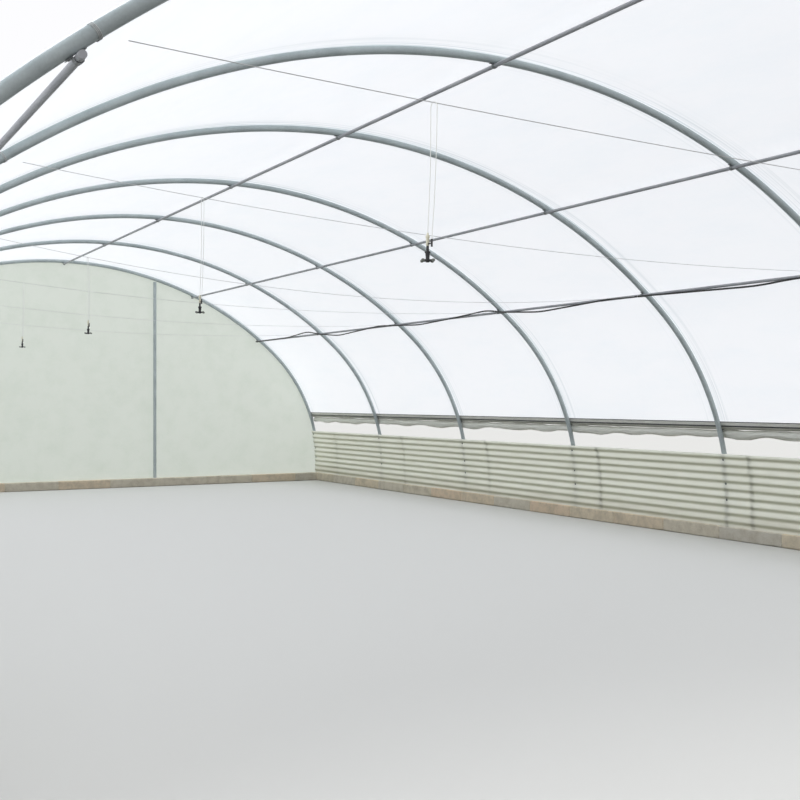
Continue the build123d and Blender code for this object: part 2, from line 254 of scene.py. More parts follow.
def galvanisedSteel(name, light, dark, roughness):
    # hot-dip galvanised tube gone dull: a chalky patina hides most of the zinc's shine, with crystals of
    # about 8 mm and stains of 0.2 m
    material, tree = newMaterial(name)
    spot = addNode(tree, "ShaderNodeTexCoord").outputs["Object"]
    crystal = addNode(tree, "ShaderNodeTexVoronoi", {"Scale": 125.0}, {"Vector": spot})
    noise = {"Scale": 5.0, "Detail": 6.0, "Roughness": 0.65}
    stain = addNode(tree, "ShaderNodeTexNoise", noise, {"Vector": spot})
    share = {"From Min": 0.35, "From Max": 0.7, "To Max": 0.75}
    share = addNode(tree, "ShaderNodeMapRange", share, {"Value": stain.outputs["Fac"]})
    grain = addNode(tree, "ShaderNodeMath", {1: 0.25}, {0: crystal.outputs["Distance"]}, operation="MULTIPLY")
    total = addNode(tree, "ShaderNodeMath", None, {0: share.outputs[0], 1: grain.outputs[0]}, operation="ADD")
    tones = {"A": toLinear(light), "B": toLinear(dark)}
    colour = addNode(tree, "ShaderNodeMix", tones, {"Factor": total.outputs[0]}, data_type="RGBA")
    rough = {"To Min": roughness - 0.06, "To Max": roughness + 0.1}
    rough = addNode(tree, "ShaderNodeMapRange", rough, {"Value": stain.outputs["Fac"]})
    links = {"Base Color": colour.outputs["Result"], "Roughness": rough.outputs[0]}
    shader = addNode(tree, "ShaderNodeBsdfPrincipled", {"Metallic": 0.12}, links)
    addNode(tree, "ShaderNodeOutputMaterial", None, {"Surface": shader.outputs[0]})
    return material


def greenhouseFilm(name, light, dusty, passing, crease, foldShade="#ffffff"):
    # polyethylene film: lets soft light through, a weak sheen, faint dust and creases along the tunnel;
    # near the hoops, where a point attribute is high, painted shade of fine folds of about 20 mm runs along
    # the hoop
    material, tree = newMaterial(name)
    spot = addNode(tree, "ShaderNodeTexCoord").outputs["Object"]
    along = addNode(tree, "ShaderNodeMapping", {"Scale": (1.0, 0.35, 1.0)}, {"Vector": spot}).outputs[0]
    noise = {"Scale": 3.0, "Detail": 8.0, "Roughness": 0.7}
    dust = addNode(tree, "ShaderNodeTexNoise", noise, {"Vector": along})
    fine = addNode(tree, "ShaderNodeTexNoise", {"Scale": 14.0, "Detail": 3.0}, {"Vector": along})
    share = {"From Min": 0.45, "From Max": 0.75}
    share = addNode(tree, "ShaderNodeMapRange", share, {"Value": dust.outputs["Fac"]})
    tones = {"A": toLinear(light), "B": toLinear(dusty)}
    colour = addNode(tree, "ShaderNodeMix", tones, {"Factor": share.outputs[0]}, data_type="RGBA")
    foldShadeNearHoop = addNode(tree, "ShaderNodeAttribute", attribute_name="foldShadeNearHoop")
    across = addNode(tree, "ShaderNodeMapping", {"Scale": (0.5, 48.0, 0.5)}, {"Vector": spot})
    folds = addNode(tree, "ShaderNodeTexNoise", {"Scale": 1.0, "Detail": 3.0}, {"Vector": across.outputs[0]})
    lines = {"From Min": 0.46, "From Max": 0.68}
    lines = addNode(tree, "ShaderNodeMapRange", lines, {"Value": folds.outputs["Fac"]})
    links = {0: lines.outputs[0], 1: foldShadeNearHoop.outputs["Fac"]}
    deep = addNode(tree, "ShaderNodeMath", None, links, operation="MULTIPLY")
    links = {"Factor": deep.outputs[0], "A": colour.outputs["Result"]}
    # painted shade: fine fold lines near the hoops are mixed towards a darker grey
    foldShaded = addNode(tree, "ShaderNodeMix", {"B": toLinear(foldShade)}, links, data_type="RGBA").outputs["Result"]
    depth = {"Strength": 0.35, "Distance": crease}
    bump = addNode(tree, "ShaderNodeBump", depth, {"Height": fine.outputs["Fac"]})
    links = {"Base Color": foldShaded, "Normal": bump.outputs[0]}
    front = addNode(tree, "ShaderNodeBsdfPrincipled", {"Roughness": 0.35, "IOR": 1.5}, links)
    behind = addNode(tree, "ShaderNodeBsdfTranslucent", None, {"Color": foldShaded})
    both = addNode(tree, "ShaderNodeMixShader", {0: passing}, {1: front.outputs[0], 2: behind.outputs[0]})
    addNode(tree, "ShaderNodeOutputMaterial", None, {"Surface": both.outputs[0]})
    return material


def mouldedPlastic(name, light, dark, roughness, patch):
    # moulded or extruded plastic: even colour, weak gloss and a little dust in patches
    material, tree = newMaterial(name)
    spot = addNode(tree, "ShaderNodeTexCoord").outputs["Object"]
    dust = addNode(tree, "ShaderNodeTexNoise", {"Scale": 1 / patch, "Detail": 5.0}, {"Vector": spot})
    share = {"From Min": 0.4, "From Max": 0.75}
    share = addNode(tree, "ShaderNodeMapRange", share, {"Value": dust.outputs["Fac"]})
    tones = {"A": toLinear(light), "B": toLinear(dark)}
    colour = addNode(tree, "ShaderNodeMix", tones, {"Factor": share.outputs[0]}, data_type="RGBA")
    links = {"Base Color": colour.outputs["Result"]}
    shader = addNode(tree, "ShaderNodeBsdfPrincipled", {"Roughness": roughness, "IOR": 1.49}, links)
    addNode(tree, "ShaderNodeOutputMaterial", None, {"Surface": shader.outputs[0]})
    return material


def corrugatedPlastic(name, passing):
    # glass-fibre roofing sheet: off-white, satin, lets some light through, painted shade on the undersides of
    # the waves (a point attribute), streaks of dirt along them and mud splashed on the lowest 0.3 m
    material, tree = newMaterial(name)
    spot = addNode(tree, "ShaderNodeTexCoord").outputs["Object"]
    along = addNode(tree, "ShaderNodeMapping", {"Scale": (3.0, 0.8, 9.0)}, {"Vector": spot}).outputs[0]
    noise = {"Scale": 3.0, "Detail": 7.0, "Roughness": 0.65}
    streak = addNode(tree, "ShaderNodeTexNoise", noise, {"Vector": along})
    share = {"From Min": 0.5, "From Max": 0.8, "To Max": 0.5}
    share = addNode(tree, "ShaderNodeMapRange", share, {"Value": streak.outputs["Fac"]})
    tones = {"A": toLinear("#fbfcf5"), "B": toLinear("#eae9dd")}
    clean = addNode(tree, "ShaderNodeMix", tones, {"Factor": share.outputs[0]}, data_type="RGBA")
    paintedUnderShade = addNode(tree, "ShaderNodeAttribute", attribute_name="paintedUnderShade")
    links = {"Factor": paintedUnderShade.outputs["Fac"], "A": clean.outputs["Result"]}
    # painted shade: the downward-facing undersides of the waves are mixed towards a darker colour
    underShaded = addNode(tree, "ShaderNodeMix", {"B": toLinear("#d2d3c4")}, links, data_type="RGBA")
    height = addNode(tree, "ShaderNodeSeparateXYZ", None, {0: spot})
    splash = {"From Min": 0.3, "From Max": 0.12, "To Max": 0.45}
    splash = addNode(tree, "ShaderNodeMapRange", splash, {"Value": height.outputs["Z"]})
    links = {0: splash.outputs[0], 1: streak.outputs["Fac"]}
    spatter = addNode(tree, "ShaderNodeMath", None, links, operation="MULTIPLY")
    links = {"Factor": spatter.outputs[0], "A": underShaded.outputs["Result"]}
    muddy = addNode(tree, "ShaderNodeMix", {"B": toLinear("#b3aa94")}, links, data_type="RGBA")
    muddy = muddy.outputs["Result"]
    fibre = addNode(tree, "ShaderNodeTexNoise", {"Scale": 180.0, "Detail": 2.0}, {"Vector": spot})
    depth = {"Strength": 0.15, "Distance": 0.0008}
    bump = addNode(tree, "ShaderNodeBump", depth, {"Height": fibre.outputs["Fac"]})
    links = {"Base Color": muddy, "Normal": bump.outputs[0]}
    front = addNode(tree, "ShaderNodeBsdfPrincipled", {"Roughness": 0.48, "IOR": 1.5}, links)
    behind = addNode(tree, "ShaderNodeBsdfTranslucent", None, {"Color": muddy})
    both = addNode(tree, "ShaderNodeMixShader", {0: passing}, {1: front.outputs[0], 2: behind.outputs[0]})
    addNode(tree, "ShaderNodeOutputMaterial", None, {"Surface": both.outputs[0]})
    return material


def roughBlock(name):
    # cast and cut kerb blocks: tan to grey, each block its own tone, sandy grain of 2 mm and pits of 12 mm
    material, tree = newMaterial(name)
    spot = addNode(tree, "ShaderNodeTexCoord").outputs["Object"]
    tone = addNode(tree, "ShaderNodeAttribute", attribute_name="blockTone")
    ramp = addNode(tree, "ShaderNodeValToRGB", None, {"Fac": tone.outputs["Fac"]})
    ramp.color_ramp.elements[0].color = toLinear("#d8d4c8")
    ramp.color_ramp.elements[1].color = toLinear("#ead3b8")
    ramp.color_ramp.elements.new(0.5).color = toLinear("#e8ddc4")
    noise = {"Scale": 9.0, "Detail": 8.0, "Roughness": 0.7}
    stain = addNode(tree, "ShaderNodeTexNoise", noise, {"Vector": spot})
    share = {"From Min": 0.42, "From Max": 0.72, "To Max": 0.7}
    share = addNode(tree, "ShaderNodeMapRange", share, {"Value": stain.outputs["Fac"]})
    links = {"Factor": share.outputs[0], "A": ramp.outputs["Color"]}
    colour = addNode(tree, "ShaderNodeMix", {"B": toLinear("#bab09c")}, links, data_type="RGBA")
    grain = addNode(tree, "ShaderNodeTexNoise", {"Scale": 420.0, "Detail": 3.0}, {"Vector": spot})
    pits = addNode(tree, "ShaderNodeTexVoronoi", {"Scale": 85.0}, {"Vector": spot})
    links = {0: grain.outputs["Fac"], 1: pits.outputs["Distance"]}
    relief = addNode(tree, "ShaderNodeMath", None, links, operation="ADD")
    depth = {"Strength": 0.5, "Distance": 0.003}
    bump = addNode(tree, "ShaderNodeBump", depth, {"Height": relief.outputs[0]})
    links = {"Base Color": colour.outputs["Result"], "Normal": bump.outputs[0]}
    shader = addNode(tree, "ShaderNodeBsdfPrincipled", {"Roughness": 0.9}, links)
    addNode(tree, "ShaderNodeOutputMaterial", None, {"Surface": shader.outputs[0]})
    return material


hoopSteel = galvanisedSteel("galvanisedHoopTube", "#c6d0d1", "#a9b3b5", 0.5)
purlinSteel = galvanisedSteel("galvanisedPurlinTube", "#b4b6ba", "#94979c", 0.5)
railSteel = galvanisedSteel("galvanisedVentTube", "#b9b9ae", "#98988e", 0.5)
clipSteel = galvanisedSteel("zincPlatedClip", "#8f9394", "#676b6c", 0.45)
channelMetal = galvanisedSteel("millAluminiumChannel", "#f3f3ed", "#dddcd4", 0.4)
# the last colour is the painted shade of the fine folds beside the hoops
coverFilm = greenhouseFilm("clearPolyethyleneFilm", "#f9fbfe", "#f4f8fc", 0.62, 0.003, "#d2dade")
farFilm = greenhouseFilm("agedPolyethyleneFilm", "#e4eae1", "#dce4d9", 0.6, 0.006)
curtainFilm = greenhouseFilm("rolledPolyethyleneFilm", "#fafbf3", "#e9eadf", 0.03, 0.003)
dropperPlastic = greenhouseFilm("naturalPolyethyleneTube", "#f7f8f6", "#eceeeb", 0.6, 0.001)
sheetPlastic = corrugatedPlastic("corrugatedGlassFibre", 0.4)
kerbStone = roughBlock("roughKerbBlock")
wirePlastic = mouldedPlastic("coatedTieWire", "#e0e2e1", "#cdd0cf", 0.5, 0.1)
palePlastic = mouldedPlastic("creamPolypropylene", "#f0edd9", "#dcd6ba", 0.4, 0.02)
blackPlastic = mouldedPlastic("blackPolypropylene", "#17181c", "#2a2a2c", 0.4, 0.03)
nozzlePlastic = mouldedPlastic("greyNozzleAcetal", "#7c8079", "#5f635c", 0.4, 0.02)
# painted shade: a dark material for the strips along the lock channel's edges, where there is only shadow
shadeStripPlastic = mouldedPlastic("paintedShadeStrip", "#4a4d4d", "#5f6160", 0.7, 0.2)
hosePlastic = mouldedPlastic("blackPolyethyleneHose", "#1d1e20", "#3a3936", 0.5, 0.25)
springWire = mouldedPlastic("coatedSpringWire", "#c9c9c2", "#a9a9a0", 0.4, 0.1)
print("materials made")


# Hoops, purlins and their clips

hoops = {"steps": 181, "sides": 28}
hoopX, hoopZ, _, _ = archAt(np.linspace(-halfTravel, halfTravel, hoops["steps"]))
for name, y in zip(hoopNames, stations):
    tube = sweepTube(np.column_stack([hoopX, 0 * hoopX + y, hoopZ]), (0, 1, 0), tubeRadius, hoops["sides"])
    addPiece(f"tube_{name}", tube, hoopSteel, [name])

purlins = {"radius": 0.0125, "sides": 24, "gap": 0.0008, "steps": 60}
purlinTravel = {}
for name in ("ridge", "right_mid", "right_low", "left_low"):
    low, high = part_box(f"{name}_purlin")
    middle = (low + high) / 2
    if name == "ridge":
        purlinTravel[name] = 0.0
    else:  # the axis lies inside the hoop by a tube radius, the gap and its own radius
        inside = tubeRadius + purlins["gap"] + purlins["radius"]
        onCrown = abs(middle.x) < (crownRadius - inside) * np.sin(joinLean)
        arcRadius = crownRadius if onCrown else arch["haunchRadius"]
        arcCentre = 0 if onCrown else haunchCentre
        reach = (abs(middle.x) - arcCentre) * arcRadius / (arcRadius - inside)
        purlinTravel[name] = travelAtX(np.sign(middle.x) * (arcCentre + reach))
    path = [(middle.x, y, middle.z) for y in np.linspace(low.y, high.y, purlins["steps"])]
    tube = sweepTube(path, (1, 0, 0), purlins["radius"], purlins["sides"])
    addPiece(f"tube_{name}_purlin", tube, purlinSteel, [f"{name}_purlin"])

bolts = {"washer": 0.0075, "thick": 0.001, "head": 0.0045, "height": 0.0032, "onTab": 0.0248, "above": 0.0028}
boltHead = washerBolt(bolts["washer"], bolts["washer"], bolts["thick"], bolts["head"], bolts["height"], 14)
heads = []
for travel in purlinTravel.values():
    for y in stations:
        spot, out, along = onHoop(travel, -tubeRadius - bolts["above"], y)
        for shift in (-bolts["onTab"], bolts["onTab"]):
            heads.append(placed(boltHead, spot + along * shift, (0, 1, 0), -out))
addPiece("clip_bolts", joined(heads), clipSteel, sharpAngle=25)
for name in ("ridge", "right_mid", "right_low", "left_low", "left_vent", "right_vent"):
    recolour(f"{name}_clips", clipSteel)
print("hoops and purlins made")


# Cover film and end film

cover = {
    "out": 0.0258, "sag": 0.012, "ripple": 0.003, "rows": 221, "perBay": 34, "crowd": 0.85,
    "foldShadeReach": 0.13, "edge": 0.4,
}
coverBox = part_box("roof_film")
edgeClimb = np.arcsin((coverBox[0].z - arch["legHeight"]) / (arch["haunchRadius"] + cover["out"]))
edgeTravel = float(travelAtClimb(edgeClimb))
travel = np.linspace(-edgeTravel, edgeTravel, cover["rows"])[:, None]
part = np.linspace(0, 1, cover["perBay"], endpoint=False)
part = part - cover["crowd"] * np.sin(2 * np.pi * part) / (2 * np.pi)  # columns crowd towards the hoops
y = [a + (b - a) * part for a, b in zip(stations, stations[1:])]
y = np.concatenate([[coverBox[0].y], *y, [stations[-1], coverBox[1].y]])[None, :]
inBay = np.interp(y, stations, np.arange(len(stations)))
slack = np.sin(np.pi * inBay) ** 2  # nothing at a hoop, full half way between two
edgeFade = np.clip((edgeTravel - np.abs(travel)) / cover["edge"], 0, 1)
lift = -cover["sag"] * slack * edgeFade + cover["ripple"] * slack * softNoise(travel, y, 14, 0.9, 2.4)
x, z, _, _ = archAt(travel + 0 * y, cover["out"] + lift)
film = addPiece("cover_film", gridShape(x, y, z), coverFilm, ["roof_film"], 80)
toHoop = np.abs(y - stations[:, None]).min(0)
# share of painted fold shade at each point, highest at a hoop and gone about 0.13 m away
addShare(film, "foldShadeNearHoop", np.exp(-((toHoop / cover["foldShadeReach"]) ** 2)) + 0 * travel)

farPanel = {"gap": 0.0015, "billow": 0.004, "rows": 161, "cols": 61}
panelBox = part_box("end_film")
panelHalf = crownHalf + haunchLength
travel = np.linspace(-panelHalf, panelHalf, farPanel["rows"])[:, None]
share = np.linspace(0, 1, farPanel["cols"])[None, :]
x, topZ, _, _ = archAt(travel, tubeRadius)
z = panelBox[0].z + share * (topZ - panelBox[0].z)
loose = np.sin(np.pi * share) * (1 - (x / halfSpan) ** 6)  # held at the foot, at the top and near the legs
billow = farPanel["billow"] * loose * (1 + softNoise(x + 0 * share, z, 12, 0.6, 1.6)) / 2
y = panelBox[0].y + farPanel["gap"] + billow
shape = gridShape(x, y, z)
corners = shape[0].reshape(farPanel["rows"], farPanel["cols"], 3)
panel = addPiece("far_end_film", shape, farFilm, ["end_film"], 80)

posts = {"short": 0.022, "steps": 8, "sides": 24}  # the real post's top is cut to the slope of the hoop; this one stops short of it with a flat end
for node in ("left_end_post", "right_end_post"):
    low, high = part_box(node)
    heights = np.linspace(low.z, high.z - posts["short"], posts["steps"])
    path = [((low.x + high.x) / 2, stations[-1], h) for h in heights]
    tube = sweepTube(path, (1, 0, 0), tubeRadius, posts["sides"])
    addPiece(f"tube_{node}", tube, hoopSteel, [node])
print("films made")


# Lock channel with its spring wire and dark strips of painted shade along it, vent tube and rolled curtain on
# each side

lock = {"height": 1.085, "width": 0.03, "depth": 0.0055}
spring = {"swing": 0.009, "pitch": 0.08, "radius": 0.0013, "steps": 8, "sides": 5, "inset": 0.01}
# sizes of the dark strips of painted shade along the lock channel
shadeStrip = {"above": 0.008, "below": 0.014, "thick": 0.0007, "sides": 8}
vent = {"tube": 0.042, "gap": 0.004, "steps": 40, "sides": 28}
roll = {
    "tall": 0.072, "deep": 0.056, "gap": 0.004, "slump": 0.03,
    "turns": 3, "core": 0.42, "crumple": 0.24, "cols": 300, "steps": 36,
}
outerReach = arch["haunchRadius"] + tubeRadius
lockClimb = np.arcsin((lock["height"] - arch["legHeight"]) / outerReach)
ventClimb = lockClimb - (lock["width"] / 2 + vent["gap"] + vent["tube"] / 2) / outerReach
rollClimb = ventClimb - (vent["tube"] / 2 + roll["gap"] + (roll["tall"] + roll["slump"]) / 2) / outerReach

for name, side in (("left", -1), ("right", 1)):
    low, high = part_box(f"{name}_lock_channel")
    recolour(f"{name}_lock_channel", channelMetal)
    onChannel = tubeRadius + arch["seat"] + lock["depth"]
    spot, out, along = onHoop(side * travelAtClimb(lockClimb), onChannel, 0)
    y = np.arange(low.y + spring["inset"], high.y - spring["inset"], spring["pitch"] / spring["steps"])
    swing = spring["swing"] * np.sin(2 * np.pi * y / spring["pitch"])
    path = spot + along * swing[:, None] + np.array([0, 1, 0]) * y[:, None]
    wire = sweepTube(path, out, spring["radius"], spring["sides"])
    addPiece(f"{name}_spring_wire", wire, springWire)

    low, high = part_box(f"{name}_vent_tube")
    spots = np.linspace(low.y, high.y, vent["steps"])
    path = [((low.x + high.x) / 2, y, (low.z + high.z) / 2) for y in spots]
    tube = sweepTube(path, (1, 0, 0), vent["tube"] / 2, vent["sides"])
    addPiece(f"{name}_vent_rail", tube, railSteel, [f"{name}_vent_tube"])

    strips = []  # a dark strip of painted shade along each edge of the channel, the lower one wider
    for way, wide in ((-1, shadeStrip["above"]), (1, shadeStrip["below"])):
        climb = lockClimb - way * (lock["width"] + wide) / 2 / outerReach
        spot, out, along = onHoop(side * travelAtClimb(climb), tubeRadius + arch["seat"] + shadeStrip["thick"], 0)
        path = [spot + (0, y, 0) for y in (low.y, high.y)]
        strips.append(sweepTube(path, along, 1.0, shadeStrip["sides"], (wide / 2, shadeStrip["thick"])))
    addPiece(f"{name}_channel_shade_strips", joined(strips), shadeStripPlastic)

    # rolled film: a flat spiral, its radius shrinking with the turn, creased the same way in every layer;
    # its top stays where it is, and its foot hangs lower where it slumps more
    low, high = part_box(f"{name}_curtain")
    onRoll = tubeRadius + arch["seat"] + roll["deep"] / 2
    spot, out, along = onHoop(side * travelAtClimb(rollClimb), onRoll, 0)
    turn = np.linspace(0, 2 * np.pi * roll["turns"], roll["turns"] * roll["steps"] + 1)[:, None]
    y = np.linspace(low.y, high.y, roll["cols"])[None, :]
    size = 1 - (1 - roll["core"]) * turn / turn.max()
    skew = turn % (2 * np.pi)
    crumple = softNoise(np.sin(skew), y, 14, 0.7, 0.8) + 0.8 * softNoise(np.cos(skew), y, 14, 0.45, 0.25)
    size = size * np.clip(0.97 + roll["crumple"] * (crumple - 0.5) / 2, 0.6, 1)
    tall = roll["tall"] + roll["slump"] * (1 + softNoise(0 * y, y, 8, 1, 0.7)) / 1.6
    up = -side * (tall / 2 * size * np.cos(turn) - (tall - roll["tall"] - roll["slump"]) / 2)
    off = roll["deep"] / 2 * size * np.sin(turn)
    x, _, z = np.moveaxis(spot + up[..., None] * along + off[..., None] * out, -1, 0)
    shape = gridShape(x, y, z)
    curtain = addPiece(f"{name}_rolled_curtain", shape, curtainFilm, [f"{name}_curtain"], 80)
print("rails and curtains made")


# Corrugated side sheets and their screws

sheets = {
    "pitch": 0.076, "waves": 9, "depth": 0.018, "thick": 0.0016, "lap": 0.05,
    # the key after lap sets how strong the painted shade on the undersides of the waves is
    "perWave": 18, "cols": 11, "bow": 0.0005, "paintedShade": 0.95, "play": 0.0002,
    "laps": (-4.7, -2.57, -0.44, 1.69, 3.82, 5.95),  # middles of the laps along the tunnel
}
screws = {"waves": (3, 5, 8), "washer": 0.011, "rim": 0.0088, "thick": 0.002, "head": 0.0055, "height": 0.006}
screw = washerBolt(screws["washer"], screws["rim"], screws["thick"], screws["head"], screws["height"], 16)


def travelAboveKerb(rise):
    # travel from the ridge to a point of the leg's inner side, rise above the kerb
    straight = arch["legHeight"] - kerbTop
    climb = np.maximum(rise - straight, 0) / (arch["haunchRadius"] - tubeRadius)
    return halfTravel - kerbTop - np.minimum(rise, straight) - climb * arch["haunchRadius"]


swing = (sheets["depth"] - sheets["thick"]) / 2
middleOut = -tubeRadius - arch["seat"] - sheets["depth"] / 2
foot = arch["seat"] + sheets["thick"] / 2
rows = sheets["waves"] * sheets["perWave"] + 1
rise = np.linspace(0, sheets["waves"] * sheets["pitch"], rows)[:, None] + foot
phase = 2 * np.pi * (rise - rise[0]) / sheets["pitch"]
for name, side in (("left", -1), ("right", 1)):
    low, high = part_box(f"{name}_side_sheet")
    starts = [low.y] + [lap - sheets["lap"] / 2 for lap in sheets["laps"]]
    ends = [lap + sheets["lap"] / 2 for lap in sheets["laps"]] + [high.y]
    shapes = []
    for index, (start, finish) in enumerate(zip(starts, ends)):
        # close columns at both ends keep the cut edges from shading the sheet
        inner = np.linspace(start + 0.02, finish - 0.02, sheets["cols"] - 4)
        y = np.concatenate([[start, start + 0.002], inner, [finish - 0.002, finish]])[None, :]
        over = index % 2  # every second sheet laps over its neighbours and bows a little
        bow = sheets["bow"] * (1 + softNoise(rise, y, 8, 0.9, 1.5)) / 2
        out = middleOut + swing * np.sin(phase) - over * (sheets["thick"] + sheets["play"] + bow)
        x, z, _, _ = archAt(side * (travelAboveKerb(rise) + 0 * y), out)
        shapes.append(gridShape(x, y, z))
    node = f"{name}_side_sheet"
    piece = addPiece(f"{name}_corrugated_sheets", joined(shapes), sheetPlastic, [node], 80)
    # painted shade is full where the inner side faces down, which is where the wave moves inwards with height
    paintedShade = (0.5 - 0.5 * np.cos(phase)) ** 2 * sheets["paintedShade"] + np.zeros(sheets["cols"])
    addShare(piece, "paintedUnderShade", np.tile(paintedShade.ravel(), len(shapes)))
    solid = piece.modifiers.new("thickness", "SOLIDIFY")
    solid.thickness, solid.offset = sheets["thick"], 0
    heads = []
    underHead = -tubeRadius - arch["seat"] - 2 * sheets["thick"] - 0.001
    for y in stations:
        for wave in screws["waves"]:
            crest = rise[0, 0] + (wave + 0.25) * sheets["pitch"]
            spot, out, along = onHoop(side * float(travelAboveKerb(crest)), underHead, y)
            heads.append(placed(screw, spot, (0, 1, 0), -out))
    addPiece(f"{name}_sheet_screws", joined(heads), clipSteel, sharpAngle=25)
print("side sheets made")


# Kerb blocks

blocks = {
    "length": 0.75, "phase": 0.09, "joint": 0.008, "rough": 0.0018, "rings": 16, "sides": 32,
    "square": 0.16, "aside": 0.0025, "clear": 0.03,
    "lip": ((0.0, 0.001, 0.006), (0.005, 0.0025, 0.0005)),  # distance from a joint, how far in
}


def blockRow(start, finish, width, height):
    # squared-off ellipse, sign(cos) * |cos|^square, carried along Y; it is smaller in the joints, and each
    # block stands a little off its neighbours
    joints = blocks["phase"] + blocks["length"] * np.arange(-12, 12)
    edges = np.concatenate([[start], joints[(joints > start + 0.1) & (joints < finish - 0.1)], [finish]])
    fromJoint, faceIn = np.array(blocks["lip"])
    spots, tones, inset, shift = [], [], [], []
    for i, (a, b) in enumerate(zip(edges, edges[1:])):
        a = a + (blocks["joint"] / 2 if i else 0)
        b = b - (blocks["joint"] / 2 if i < len(edges) - 2 else 0)
        middle = np.linspace(a + blocks["clear"], b - blocks["clear"], blocks["rings"])
        spots.append(np.concatenate([a + fromJoint, middle, b - fromJoint[::-1]]))
        inset.append(np.concatenate([faceIn, np.zeros(blocks["rings"]), faceIn[::-1]]))
        tones.append(np.full(len(spots[-1]), rng.uniform(0, 1)))
        shift.append(np.tile(rng.uniform(-blocks["aside"], 0, 2), (len(spots[-1]), 1)))
    y, inset, tones, shift = (np.concatenate(v) for v in (spots, inset, tones, shift))
    turn = np.linspace(0, 2 * np.pi, blocks["sides"], endpoint=False) + np.pi / blocks["sides"]
    acrossX = np.sign(np.cos(turn)) * np.abs(np.cos(turn)) ** blocks["square"]
    acrossZ = np.sign(np.sin(turn)) * np.abs(np.sin(turn)) ** blocks["square"]
    uneven = blocks["rough"] * softNoise(turn[None, :] * 0.06, y[:, None], 16, 0.08, 0.1)
    drawnIn = np.minimum(uneven, 0) - inset[:, None]
    x = acrossX * (width / 2 + drawnIn) + shift[:, :1]
    z = height / 2 + acrossZ * (height / 2 + drawnIn)
    z = np.where(acrossZ < 0, np.maximum(z, 0), z + shift[:, 1:] * 0.6)
    verts = gridShape(x, y[:, None], z)[0]
    verts = np.vstack([verts, (0, y[0], height / 2), (0, y[-1], height / 2)])
    quads, tris = gridQuads(len(y), len(turn), closed=True), endFans(len(y), len(turn))
    tones = np.concatenate([np.repeat(tones, len(turn)), [tones[0], tones[-1]]])
    return verts, quads[:, ::-1], tris[:, ::-1], tones


for node in ("left_kerb", "right_kerb", "end_kerb"):
    low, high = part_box(node)
    size = high - low
    across = node == "end_kerb"
    length, width = (size.x, size.y) if across else (size.y, size.x)
    verts, quads, tris, tones = blockRow(-length / 2, length / 2, width, size.z)
    if across:  # turned a quarter about Z
        verts = np.column_stack([-verts[:, 1], verts[:, 0], verts[:, 2]])
    verts = verts + ((low.x + high.x) / 2, (low.y + high.y) / 2, 0)
    piece = addPiece(f"{node}_blocks", (verts, quads, tris), kerbStone, [node], 50)
    addShare(piece, "blockTone", tones)
print("kerbs made")


# Tie wires with their wraps

ties = {
    "radius": 0.0015, "steps": 61, "sides": 8,
    "leftShares": (0.731, 0.687, 0.695, 0.7, 0.7, 0.7),  # of the half span, from the middle to the left
    "sags": (0.055, 0.115, 0.23, 0.14, 0.14, 0.14),
    "offHoop": 1.02, "offPurlin": 0.0172,  # where the wire starts, in tube radii, and where it ends
    "wraps": 3.5, "wrapPitch": 0.0045, "wrapSteps": 120, "wrapAside": 0.016,
}
low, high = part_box("right_low_purlin")
lowPurlin = np.array([(low.x + high.x) / 2, 0, (low.z + high.z) / 2])


def wireWrap(middle, radius, along, first, second):
    # helix of a few turns: middle + along * rise + radius * (cos(turn) * first + sin(turn) * second)
    turn = np.linspace(0, 2 * np.pi * ties["wraps"], ties["wrapSteps"])[:, None]
    circle = (radius + ties["radius"]) * (np.cos(turn) * first + np.sin(turn) * second)
    helix = middle + circle + along * turn / (2 * np.pi) * ties["wrapPitch"]
    return sweepTube(helix, along, ties["radius"], ties["sides"])


tunnelWay, inward, down = np.array([[0, 1, 0], [-1, 0, 0], [0, 0, -1]])
shapes, tieEnds = [], []
for share, sag, y in zip(ties["leftShares"], ties["sags"], stations):
    left, out, along = onHoop(travelAtX(-share * halfSpan), 0, y)
    right = lowPurlin + (0, y, 0)
    tieEnds.append((left, right, sag))
    t = np.linspace(0, 1, ties["steps"])[:, None]
    path = left + (right - left) * t - np.array([0, 0, 1]) * 4 * sag * t * (1 - t)
    fromLeft, fromRight = (np.linalg.norm((path - end)[:, [0, 2]], axis=1) for end in (left, right))
    path = path[(fromLeft > tubeRadius * ties["offHoop"]) & (fromRight > ties["offPurlin"])]
    shapes.append(sweepTube(path, (0, 1, 0), ties["radius"], ties["sides"]))
    shapes.append(wireWrap(left, tubeRadius, along, -out, tunnelWay))
    beside = right + tunnelWay * ties["wrapAside"]
    shapes.append(wireWrap(beside, purlins["radius"], tunnelWay, inward, down))
addPiece("tie_wires", joined(shapes), wirePlastic, ["tie_lines"])
print("tie wires made")


# Foggers with their nozzles, connectors, droppers and hooks

fog = {
    "collar": 0.0095, "valve": 0.0075, "hub": 0.007, "arm": 0.0033, "armDrop": 0.039, "turn": 20,
    "loop": 0.013, "lower": 0.01, "shares": (0.466, 0.447, 0.46, 0.46, 0.46, 0.46),
}
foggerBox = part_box("foggers")
valveTop = foggerBox[1].z - fog["lower"]
bodyLength = foggerBox[1].z - foggerBox[0].z
rowX = -np.array(fog["shares"]) * halfSpan
body = turned([
    (0, -bodyLength), (0.0055, -bodyLength), (fog["hub"], -0.0435), (fog["hub"], -0.0335), (0.0062, -0.0325),
    (0.0072, -0.021), (0.0078, -0.0155), (fog["collar"], -0.0145), (fog["collar"], -0.0105),
    (fog["valve"], -0.0095), (0.0046, -0.008), (0.0046, 0.007), (0.0042, 0.008), (0, 0.008),
], 28)
arm = turned([(0, 0), (fog["arm"], 0), (fog["arm"], 0.02), (0, 0.02)], 18)
